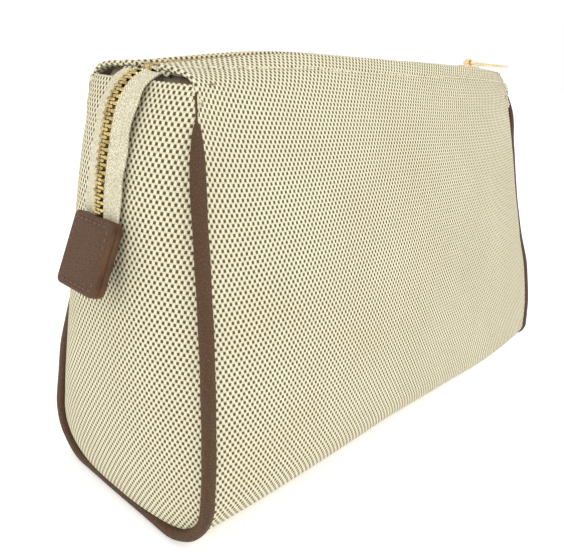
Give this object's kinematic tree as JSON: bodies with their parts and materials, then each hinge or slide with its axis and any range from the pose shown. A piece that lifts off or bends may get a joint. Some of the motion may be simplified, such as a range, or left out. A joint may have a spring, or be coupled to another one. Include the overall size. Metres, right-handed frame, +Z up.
{
  "type": "shaving kit bag",
  "caption": "Zipped canvas wash bag with a boxy base, end gussets edged in leather piping, a roof closed by a metal zip, and a leather tab on the zip's tail.",
  "frame": {"origin": "middle of the base, on the surface the bag rests on", "axes": "+X along the bag from the zip's tab end to its slider end, -Y towards the front panel, +Z up"},
  "size_m": [0.2908, 0.0988, 0.1649],
  "materials": {
    "canvas": "two-tone plain weave canvas, cream with dark olive-brown dots, matt",
    "lining": "plain dark brown lining cloth",
    "leather": "brown grained leather, satin",
    "zip_tape": "off-white herringbone woven tape",
    "teeth_brass": "polished brass teeth",
    "pale_gold": "bright pale gold plating"
  },
  "bodies": {
    "bag": {"body_wrap": "canvas", "gusset_left": "canvas", "gusset_right": "canvas", "piping_left": "leather", "piping_right": "leather", "lining_wrap": "lining", "lining_gusset_left": "lining", "lining_gusset_right": "lining"},
    "front_flap": {"roof_front": "canvas", "roof_lining_front": "lining", "zip_tape_front": "zip_tape", "zip_teeth_front": "teeth_brass", "top_stop_front": "teeth_brass"},
    "back_flap": {"roof_back": "canvas", "roof_lining_back": "lining", "zip_tape_back": "zip_tape", "zip_teeth_back": "teeth_brass", "top_stop_back": "teeth_brass"},
    "slider": {"slider_body": "pale_gold"},
    "pull": {"zip_pull": "pale_gold"},
    "tail": {"tail_tape_front": "zip_tape", "tail_tape_back": "zip_tape", "tail_teeth_front": "teeth_brass", "tail_teeth_back": "teeth_brass", "tab_outer": "leather", "tab_inner": "leather"}
  },
  "joints": [
    {"name": "slider_travel", "type": "slide", "parent": "bag", "child": "slider", "axis": [-0.9999, 0, -0.0151], "range_m": [0, 0.2055]},
    {"name": "pull_lift", "type": "hinge", "parent": "slider", "child": "pull", "pos_m": [0.088, 0, 0.1627], "axis": [-0.1736, -0.9848, 0], "range_deg": [0, 140]},
    {"name": "front_flap_fold", "type": "hinge", "parent": "bag", "child": "front_flap", "pos_m": [-0.127, -0.0256, 0.1495], "axis": [0.998, 0.0614, -0.0148], "range_deg": [0, 71], "deforming": ["zip_tape_front", "zip_teeth_front"]},
    {"name": "back_flap_fold", "type": "hinge", "parent": "bag", "child": "back_flap", "pos_m": [-0.127, 0.0293, 0.1495], "axis": [-0.997, 0.0756, 0.0147], "range_deg": [0, 71], "deforming": ["zip_tape_back", "zip_teeth_back"]},
    {"name": "tail_lift", "type": "hinge", "parent": "bag", "child": "tail", "pos_m": [-0.127, 0, 0.1535], "axis": [0, 1, 0], "range_deg": [0, 80], "deforming": ["tail_tape_front", "tail_tape_back", "tail_teeth_front", "tail_teeth_back"]}
  ],
  "couplings": [
    {"joint": "front_flap_fold", "follows": "slider_travel", "rad_per_m": 5.9445},
    {"joint": "back_flap_fold", "follows": "slider_travel", "rad_per_m": 5.9445}
  ]
}
